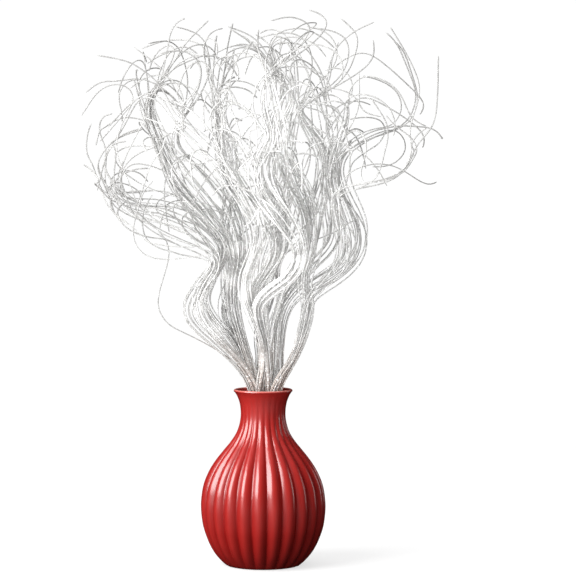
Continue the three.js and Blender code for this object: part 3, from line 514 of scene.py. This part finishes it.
            (87, 22, 445, 8), (91, 22, 464, 9), (106, 22, 478, 9), (124, 24, 488, 8),
            (140, 28, 493, 5)],
        "ends": [
            [(156, 30, 496), (172, 32, 496), (188, 32, 495), (198, 32, 491), (205, 32, 483)],
            [(153, 32, 498), (165, 34, 507), (172, 34, 521), (174, 34, 537), (169, 34, 553),
             (162, 34, 570), (155, 34, 587), (147, 34, 598), (140, 34, 604)],
            [(151, 26, 499), (158, 22, 513), (156, 18, 528), (147, 14, 540), (131, 10, 549),
             (113, 6, 554)],
            [(152, 32, 492), (161, 38, 482), (162, 44, 469), (154, 50, 458), (142, 56, 452),
             (126, 62, 451)]]},
    # the back and the near side: another lock, turned about the vase by degrees and drawn in
    "back_sweep": {"like": "left_sweep", "turn": -62, "drawn": 0.8, "mouth": (0, 21)},
    "front_outer": {"like": "left_fan", "turn": 98, "drawn": 0.74, "mouth": (-6, -18), "stems": 7},
    "back_lobe": {"like": "right_lobe", "turn": 72, "drawn": 0.9, "mouth": (10, 18)},
    "back_mane": {"like": "left_mane", "turn": -120, "drawn": 0.88, "mouth": (-10, 18)},
    "back_far": {"like": "right_far", "turn": 104, "drawn": 0.8, "mouth": (-6, 10)},
}
stemSet = {
    "stems": 10,                   # a lock, if it doesn't say
    "radius": 0.72,
    "sides": 5,
    # inside the vase: share of the place in the mouth, height, spread
    "insideStretch": [(1.25, 8, 1.5), (0.95, 90, 2.8), (0.7, 168, 3), (1, 204, 3.5)],
    # radians about the lock from stem to stem and from lock to lock, and how they sway along it
    "windStem": 2.39996, "windLock": 1.7, "sway": 0.6, "swayRate": 6,
    "boundPoints": 96, "freePoints": 40,
    "easing": 5,                   # rounds that smooth the bend where a tip leaves the lock
    # shares of the radius: at the lower end, what is added towards the tip, and how much less of it the
    # thinnest stems get
    "foot": 0.62, "grows": 0.62, "growsLess": 0.4,
    # the bead of glitter at the tip: how much thicker than the stem it is, its length, its blunt point
    "bead": 1.7, "beadLength": 1.5, "beadPoint": 0.3,
}
# The stems past the first few leave their lock lower down. They repeat its ends at another size, rolled
# about their own direction and bent aside, in degrees
looseSet = {
    "leaveLeast": 0.52, "sizeLeast": 0.85, "sizeSpread": 0.55, "roll": 240, "aside": 50,
    "near": 0.5,                   # how much of all this the first round of them gets
    # so many stems are plain. The others frizz further out from this share of the route on, and wind
    # about the lock at their own rates
    "plain": 4, "frizzFrom": 0.52, "frizz": 2, "twist": 10,
    # how far from the axis and how high they run free, how much further they can get, and the share of
    # the distance that they have to the front and back
    "widest": 160, "highest": 575, "margin": 45, "deep": 0.68,
    # the share of it that they have at the height of the mouth. They have all of it at twice that height
    "narrowest": 0.2, "mouthHeight": 200,
}


def scatter(numbers, base):
    # an even scatter between 0 and 1: the digits of each whole number, read backwards
    rest = np.atleast_1d(numbers).copy()
    value = np.zeros(rest.shape)
    share = 1.0
    while rest.any():
        share /= base
        value += share * (rest % base)
        rest //= base
    return value


def unit(vectors):
    return vectors / np.maximum(np.linalg.norm(vectors, axis=-1, keepdims=True), 1e-9)


def dot(a, b):
    return (a * b).sum(axis=-1, keepdims=True)


def placed(lock, points):
    # turned about the upright axis of the vase, and drawn in towards it
    angle = np.radians(lock.get("turn", 0))
    points = np.array(points, float)
    x, y = points[:, 0].copy(), points[:, 1].copy()
    points[:, 0] = lock.get("drawn", 1) * (x * np.cos(angle) - y * np.sin(angle))
    points[:, 1] = lock.get("drawn", 1) * (x * np.sin(angle) + y * np.cos(angle))
    return points


def patternOf(lock):
    # the lock whose route and ends it follows
    return locks[lock["like"]] if "like" in lock else lock


def lockRows(lock):
    # the whole route of a lock, with the stretch inside the vase put before its mouth
    x, y = lock["mouth"]
    lower = [(share * x, share * y, z, spread) for share, z, spread in stemSet["insideStretch"]]
    return np.vstack([lower, placed(lock, patternOf(lock)["route"])])


def endCurves(lock, rows):
    # each end as a smooth curve from the middle of the lock to the tip, and the share of the route
    # where it leaves
    pattern = patternOf(lock)
    inside, last = len(stemSet["insideStretch"]), len(rows) - 1
    curves, leaving = [], []
    for n, way in enumerate(pattern["ends"]):
        row = inside - 1 + pattern["leaving"][n] if "leaving" in pattern else last
        knots = np.vstack([rows[row - 1:row + 1, :3], placed(lock, way)])
        shares = np.linspace(1 / (len(knots) - 1), 1, stemSet["freePoints"] + 1)
        curves.append(smoothRows(knots, shares))
        leaving.append(row / last)
    return np.array(curves), np.array(leaving)


def boundStretch(rows, leave, number):
    # each stem is at its own distance from the middle of the lock, spread times the root of its scatter,
    # and winds round it as it climbs. Higher up the stems past the first few are further out and cross
    stem = np.arange(len(leave))
    shares = leave[:, None] * np.linspace(0, 1, stemSet["boundPoints"])
    route = smoothRows(rows, shares)
    middle, spread = route[..., :3], route[..., 3:]
    tangent = unit(np.gradient(middle, axis=1))
    side = unit(np.cross(tangent, (0, 1, 0)))
    up = np.cross(tangent, side)
    rise = np.clip((shares - looseSet["frizzFrom"]) / (1 - looseSet["frizzFrom"]), 0, 1)
    rise = rise * (stem >= looseSet["plain"])[:, None]
    wind = (stemSet["windStem"] * stem[:, None] + stemSet["windLock"] * number
            + stemSet["sway"] * np.sin(stemSet["swayRate"] * shares + number)
            + looseSet["twist"] * (scatter(stem + 1, 3)[:, None] - 0.5) * rise)[..., None]
    out = 1 + looseSet["frizz"] * rise * scatter(stem + 1, 5)[:, None]
    reach = np.sqrt(scatter(stem + 1, 2))[:, None, None] * spread * out[..., None]
    return middle + reach * (np.cos(wind) * side + np.sin(wind) * up)


def rotated(vectors, axis, angle):
    # about an axis: v cos a + (axis x v) sin a + axis (axis . v) (1 - cos a)
    cos, sin = np.cos(angle)[:, None, None], np.sin(angle)[:, None, None]
    axis = axis[:, None]
    return vectors * cos + np.cross(axis, vectors) * sin + axis * dot(axis, vectors) * (1 - cos)


def within(values, limit, margin):
    # past the limit, limit + margin tanh((v - limit) / margin)
    return np.where(values > limit, limit + margin * np.tanh((values - limit) / margin), values)


def heldIn(points):
    # drawn in towards the axis and down where they reach too far, which is less far to the front and
    # back than to the sides, and less far low down
    outwards = np.linalg.norm(points[..., :2] / (1, looseSet["deep"]), axis=-1, keepdims=True)
    room = np.clip(points[..., 2:] / looseSet["mouthHeight"] - 1, looseSet["narrowest"], 1)
    drawn = within(outwards, looseSet["widest"] * room, looseSet["margin"]) / np.maximum(outwards, 1e-9)
    height = within(points[..., 2:], looseSet["highest"], looseSet["margin"])
    return np.concatenate([points[..., :2] * drawn, height], axis=-1)


def stemPaths(lock, number):
    # every stem keeps to its lock and then takes one of the lock's ends. The first stems run from their
    # own place to the very tip, by a shift that grows with the share of the way. The others leave lower
    # down, at another size and turned into their own direction. Each round of easing makes a point half
    # itself and a quarter of both neighbours
    count = lock.get("stems", stemSet["stems"])
    rows = lockRows(lock)
    curves, leaving = endCurves(lock, rows)
    stem = np.arange(count)
    draw = stem + 1 + 5 * number   # so that no two locks are scattered alike
    which = stem % len(curves)
    exact = stem < len(curves)
    wild = np.where(stem < 2 * len(curves), looseSet["near"], 1)
    lower = 1 - (1 - looseSet["leaveLeast"]) * wild * scatter(draw, 3)
    bound = boundStretch(rows, leaving[which] * np.where(exact, 1, lower), number)
    start = bound[:, -1:]
    shapes = curves[which] - curves[which, :1]
    way = unit(bound[:, -1] - bound[:, -3])
    heading = unit(shapes[:, 1])
    across = np.cross(heading, way)
    bend = np.arctan2(np.linalg.norm(across, axis=1), dot(heading, way)[:, 0])
    aligned = rotated(shapes, unit(across), bend)
    aligned = rotated(aligned, way, np.radians(looseSet["roll"]) * wild * (scatter(draw, 7) - 0.5))
    aside = unit(np.cross(way, (0.2, 1, 0.1)))   # square to the stem
    aligned = rotated(aligned, aside, np.radians(looseSet["aside"]) * wild * (scatter(draw, 2) - 0.5))
    size = 1 + wild * (looseSet["sizeLeast"] - 1 + looseSet["sizeSpread"] * scatter(draw, 5))
    share = np.linspace(0, 1, stemSet["freePoints"] + 1)[:, None]
    back = (curves[which, :1] - start) * share
    free = np.where(exact[:, None, None], start + shapes + back,
                    heldIn(start + size[:, None, None] * aligned))
    paths = np.concatenate([bound, free[:, 1:]], axis=1)
    for _ in range(stemSet["easing"]):
        paths[:, 1:-1] = (paths[:, :-2] + 2 * paths[:, 1:-1] + paths[:, 2:]) / 4
    return paths


# Glitter: it clings in clumps where many stems meet, painted white there as a painted highlight,
# and thins out towards the tips
frostSet = {
    # x and height of each clump as seen from the front, how far it reaches and how white it is: the white
    # is painted highlight
    "clumpsWithHighlight": [
        (-49, 269, 16, 0.65), (-66, 292, 22, 0.3), (0, 232, 16, 0.8), (-35, 321, 15, 1),
        (-31, 358, 13, 1), (-18, 312, 14, 1), (42, 346, 14, 1), (34, 255, 14, 0.6), (2, 401, 16, 1),
        (40, 375, 10, 0.7), (3, 483, 28, 0.65), (26, 514, 22, 0.85), (-102, 500, 18, 0.65),
        (-20, 450, 22, 0.5), (30, 480, 95, 0.54), (-75, 470, 75, 0.38), (0, 330, 75, 0.55),
        (90, 410, 55, 0.48), (0, 225, 30, 0.5),
    ],
    "thicker": 0.7,                # share of the radius that the middle of a clump adds to a stem
    # elsewhere it is the length left to the tip over fadeOver, held between least and most, and more on
    # one stem than on another
    "least": 0.05, "most": 0.36, "fadeOver": 500, "uneven": 0.6,
}


def frostAlong(paths, run):
    # two shares: how white a stem is, and how much of a clump is there. A clump is its whiteness, painted
    # highlight, times exp(-(distance / reach)^2), and the larger of that and the share of the length left
    # makes the white
    left = np.clip((run[:, -1:] - run) / frostSet["fadeOver"], frostSet["least"], frostSet["most"])
    left = left * (1 + frostSet["uneven"] * (2 * scatter(np.arange(len(run)) + 1, 2)[:, None] - 1))
    clumpShareAndHighlight = np.zeros(run.shape)
    for x, height, reach, white in frostSet["clumpsWithHighlight"]:
        away = (paths[..., 0] - x)**2 + (paths[..., 2] - height)**2
        # painted highlight: each clump whitens the stems that pass through it
        clumpShareAndHighlight = np.maximum(clumpShareAndHighlight, white * np.exp(-away / reach**2))
    return np.maximum(left, clumpShareAndHighlight), clumpShareAndHighlight


def carriedFrames(paths):
    # two directions across each path: at every point the first is the one before, less its share along
    # the path, and so it isn't twisted, and the second is square to it and to the path
    tangent = unit(np.gradient(paths, axis=1))
    side = unit(np.cross(tangent[:, 0], (0.3, 1, 0.2)))
    sides = [side]
    for n in range(1, paths.shape[1]):
        side = unit(side - tangent[:, n] * dot(side, tangent[:, n]))
        sides.append(side)
    sides = np.stack(sides, axis=1)
    return sides, np.cross(tangent, sides)


def stemTubes(paths):
    # a round section carried along each path. Its radius is a share at the foot, plus one that grows with
    # the length run, plus one that is the square of the clump, and a thicker bead ends it at the tip
    count, steps, _ = paths.shape
    sides = stemSet["sides"]
    run = np.concatenate([np.zeros((count, 1)),
                          np.cumsum(np.linalg.norm(np.diff(paths, axis=1), axis=2), axis=1)], axis=1)
    frostAndHighlight, clumpShareAndHighlight = frostAlong(paths, run)
    grows = stemSet["grows"] * (1 - stemSet["growsLess"] * scatter(np.arange(count) + 1, 5))[:, None]
    radius = stemSet["radius"] * (stemSet["foot"] + grows * run / run[:, -1:]
                                  + frostSet["thicker"] * clumpShareAndHighlight**2)
    radius = radius * np.where(run[:, -1:] - run < stemSet["beadLength"], stemSet["bead"], 1)
    radius[:, -1] = stemSet["beadPoint"]
    one, two = carriedFrames(paths)
    angle = fullTurn(sides)
    rings = paths[:, :, None] + radius[:, :, None, None] * (
        one[:, :, None] * np.cos(angle)[:, None] + two[:, :, None] * np.sin(angle)[:, None])
    return rings.reshape(-1, 3), ringFaces(count, steps, sides), run, frostAndHighlight


glitterSet = {
    # dashes of darker and lighter glitter along a stem, where it is thin and where it is thick
    "dashes": {"Scale": 120, "Detail": 2, "Roughness": 0.6},
    "greys": [(0.34, (0.26, 0.257, 0.251)), (0.5, (0.3, 0.296, 0.289)), (0.66, (0.34, 0.336, 0.329))],
    "whites": [(0.34, (0.74, 0.735, 0.72)), (0.46, (0.86, 0.855, 0.84)), (0.58, (0.95, 0.95, 0.94))],
    "apart": 3.7,                  # metres of the pattern from one stem of a lock to the next
    # bare brownish stem near the mouth of the vase: height in metres where it is most and where it ends
    "bareFrom": 0.19, "bareTo": 0.27, "bareMost": 0.85,
    "bareBrown": (0.38, 0.305, 0.26, 1),
    "bareTones": [(0.25, (0, 0, 0)), (0.6, (1, 1, 1))],   # which stems show it
    "toneLess": 0.45,              # what their tones are lowered by
    # single flakes with painted highlights, white glints in cells of about a millimetre, fainter near the
    # tips
    "flakeCells": {"Scale": 900},
    "glintChance": [(0.87, (0, 0, 0)), (0.93, (1, 1, 1))],
    "glintShare": [(0.14, (0.08, 0.08, 0.08)), (0.42, (1, 1, 1))],
    "roughness": 0.4,
}


def glitterMaterial(settings):
    material, shader = newMaterial("silver_glitter")
    run = addNode(shader, "ShaderNodeAttribute", attribute_name="alongStem").outputs["Fac"]
    place = addNode(shader, "ShaderNodeTexCoord").outputs["Object"]
    dashes = addNode(shader, "ShaderNodeTexNoise", {"W": run, **settings["dashes"]},
                     noise_dimensions="1D").outputs["Fac"]
    # whiter where there is more glitter, and painted highlight in the clumps
    frostAndHighlight = addNode(shader, "ShaderNodeAttribute", attribute_name="frostAndHighlight").outputs["Fac"]
    coated = blend(shader, frostAndHighlight, ramp(shader, dashes, settings["greys"]),
                   ramp(shader, dashes, settings["whites"]))
    height = addNode(shader, "ShaderNodeSeparateXYZ", {"Vector": place}).outputs["Z"]
    bare = addNode(shader, "ShaderNodeMapRange",
                   {"Value": height, "From Min": settings["bareFrom"], "From Max": settings["bareTo"],
                    "To Min": settings["bareMost"], "To Max": 0}).outputs["Result"]
    tone = addNode(shader, "ShaderNodeAttribute", attribute_name="tone").outputs["Fac"]
    stem = blend(shader, times(shader, bare, ramp(shader, tone, settings["bareTones"])), coated,
                 settings["bareBrown"])
    # painted highlights: white spots of base colour for the glints of single glitter flakes
    cell = addNode(shader, "ShaderNodeTexVoronoi", {"Vector": place, **settings["flakeCells"]})
    chance = addNode(shader, "ShaderNodeSeparateXYZ", {"Vector": cell.outputs["Color"]}).outputs["X"]
    paintedGlints = times(shader, ramp(shader, chance, settings["glintChance"]),
                   ramp(shader, frostAndHighlight, settings["glintShare"]))
    link(shader, blend(shader, paintedGlints, stem, (1, 1, 1, 1)), "Base Color")
    shader.inputs["Roughness"].default_value = settings["roughness"]
    return material


def stemTones(count, number):
    # a share for each stem plus one for its lock, lowered, so that some stems and some locks are barer
    own = scatter(np.arange(count) + 1 + 7 * number, 3)[:, None]
    return own + scatter(number + 1, 2) - glitterSet["toneLess"]


glitter = glitterMaterial(glitterSet)
glittered = bpy.data.collections.new("glittered")   # what the fill light and the glow shine on
stemTotal = 0
for number, (lockName, lock) in enumerate(locks.items()):
    paths = stemPaths(lock, number)
    count = len(paths)
    points, faces, run, frostAndHighlight = stemTubes(paths)
    spray = newPiece("glittered_" + lockName, points, faces, glitter)
    offset = glitterSet["apart"] * (5 * number + np.arange(count))[:, None]
    # the whiteness attribute holds painted highlight in the clumps
    for name, values in (("alongStem", run * mm + offset), ("frostAndHighlight", frostAndHighlight * lock.get("glitter", 1)),
                         ("tone", stemTones(count, number) + 0 * run)):
        setAttribute(spray, name, np.repeat(values, stemSet["sides"], axis=1))
    glittered.objects.link(spray)
    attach(spray, "root")
    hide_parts("stems_" + lockName)
    stemTotal += count
print("stems made:", stemTotal)

# Floor, light and background, in metres
studioSet = {
    "floor": {"radius": 1.3, "around": 96, "grey": 0.3, "roughness": 0.9, "glow": 0.69},
    "backdrop": {"radius": 14, "rings": 24, "around": 48, "grey": 0, "roughness": 0.5, "glow": 1.02},
    "world": 0.1,
    # where each light stands, what it looks at, its width and height, and its watts. A mirrored one shows
    # in the glaze. The last two light the stems alone, and the glow, without shadows, is the light that
    # the glitter scatters deep into the spray
    "lights": {
        "key": {"stand": (-1.6, -1.1, 1.3), "aim": (0, 0, 0.15), "size": (1.7, 1.8), "watts": 90,
                "mirrored": True},
        "top": {"stand": (0, 0.2, 3.2), "aim": (0, 0, 0), "size": (4.5, 4.5), "watts": 118},
        "rim": {"stand": (2.2, 1.0, 0.6), "aim": (0, 0, 0.15), "size": (0.4, 1.2), "watts": 4,
                "mirrored": True},
        "low": {"stand": (-1, -1.6, 0.25), "aim": (0, 0, 0.05), "size": (2.4, 0.5), "watts": 12},
        "bounce": {"stand": (-0.3, -0.9, 0.004), "aim": (-0.3, -0.9, 1), "size": (2.4, 1.4), "watts": 14},
        "fill": {"stand": (0.2, -2.6, 0.6), "aim": (0, 0, 0.4), "size": (4.5, 2.5), "watts": 26,
                 "stemsOnly": True},
        "glow": {"stand": (0.2, -2.6, 0.6), "aim": (0, 0, 0.4), "size": (4.5, 2.5), "watts": 56,
                 "stemsOnly": True, "shadowless": True},
    },
}


def discPoints(settings):
    # one ring about the origin: radius times the cosine and sine of the angle
    angle = fullTurn(settings["around"])
    return settings["radius"] / mm * np.column_stack([np.cos(angle), np.sin(angle), 0 * angle])


def spherePoints(settings):
    # rings of latitude from just above the lowest point to just under the highest
    tilt = np.linspace(-0.499, 0.499, settings["rings"])[:, None] * np.pi
    turn = fullTurn(settings["around"])
    return settings["radius"] / mm * np.stack([np.cos(tilt) * np.cos(turn), np.cos(tilt) * np.sin(turn),
                                               np.sin(tilt) + 0 * turn], axis=2).reshape(-1, 3)


def stagePiece(name, points, faces, settings):
    # glows by itself and shows to the camera alone, so that it throws no light on the object
    material, shader = newMaterial(name + "_white")
    shader.inputs["Base Color"].default_value = (*[settings["grey"]] * 3, 1)
    shader.inputs["Roughness"].default_value = settings["roughness"]
    shader.inputs["Emission Color"].default_value = (1, 1, 1, 1)
    shader.inputs["Emission Strength"].default_value = settings["glow"]
    piece = newPiece(name, points, faces, material)
    for ray in ("diffuse", "glossy", "transmission", "volume_scatter"):
        setattr(piece, "visible_" + ray, False)
    return piece


def addLight(name, settings):
    lamp = bpy.data.lights.new(name, "AREA")
    lamp.shape = "RECTANGLE"
    lamp.size, lamp.size_y = settings["size"]
    lamp.energy = settings["watts"]
    lamp.use_shadow = not settings.get("shadowless", False)
    light = bpy.data.objects.new(name, lamp)
    light.location = settings["stand"]
    way = Vector(settings["aim"]) - Vector(settings["stand"])
    light.rotation_euler = way.to_track_quat("-Z", "Y").to_euler()
    light.visible_camera = False
    light.visible_glossy = settings.get("mirrored", False)
    if settings.get("stemsOnly", False):
        light.light_linking.receiver_collection = glittered
    bpy.context.collection.objects.link(light)


def addStudio(settings):
    disc = discPoints(settings["floor"])
    floor = stagePiece("floor", disc, [np.arange(len(disc))[None]], settings["floor"])
    dome = settings["backdrop"]
    walls, _ = ringFaces(1, dome["rings"], dome["around"])
    backdrop = stagePiece("backdrop", spherePoints(dome), [walls], dome)
    backdrop.visible_shadow = False
    for name, light in settings["lights"].items():
        addLight(name, light)
    world = bpy.data.worlds.new("studio")
    world.use_nodes = True
    world.node_tree.nodes["Background"].inputs["Color"].default_value = (1, 1, 1, 1)
    world.node_tree.nodes["Background"].inputs["Strength"].default_value = settings["world"]
    world.cycles_visibility.glossy = False
    bpy.context.scene.world = world
    bpy.context.scene.view_settings.view_transform = "Standard"


addStudio(studioSet)
print("studio lit")
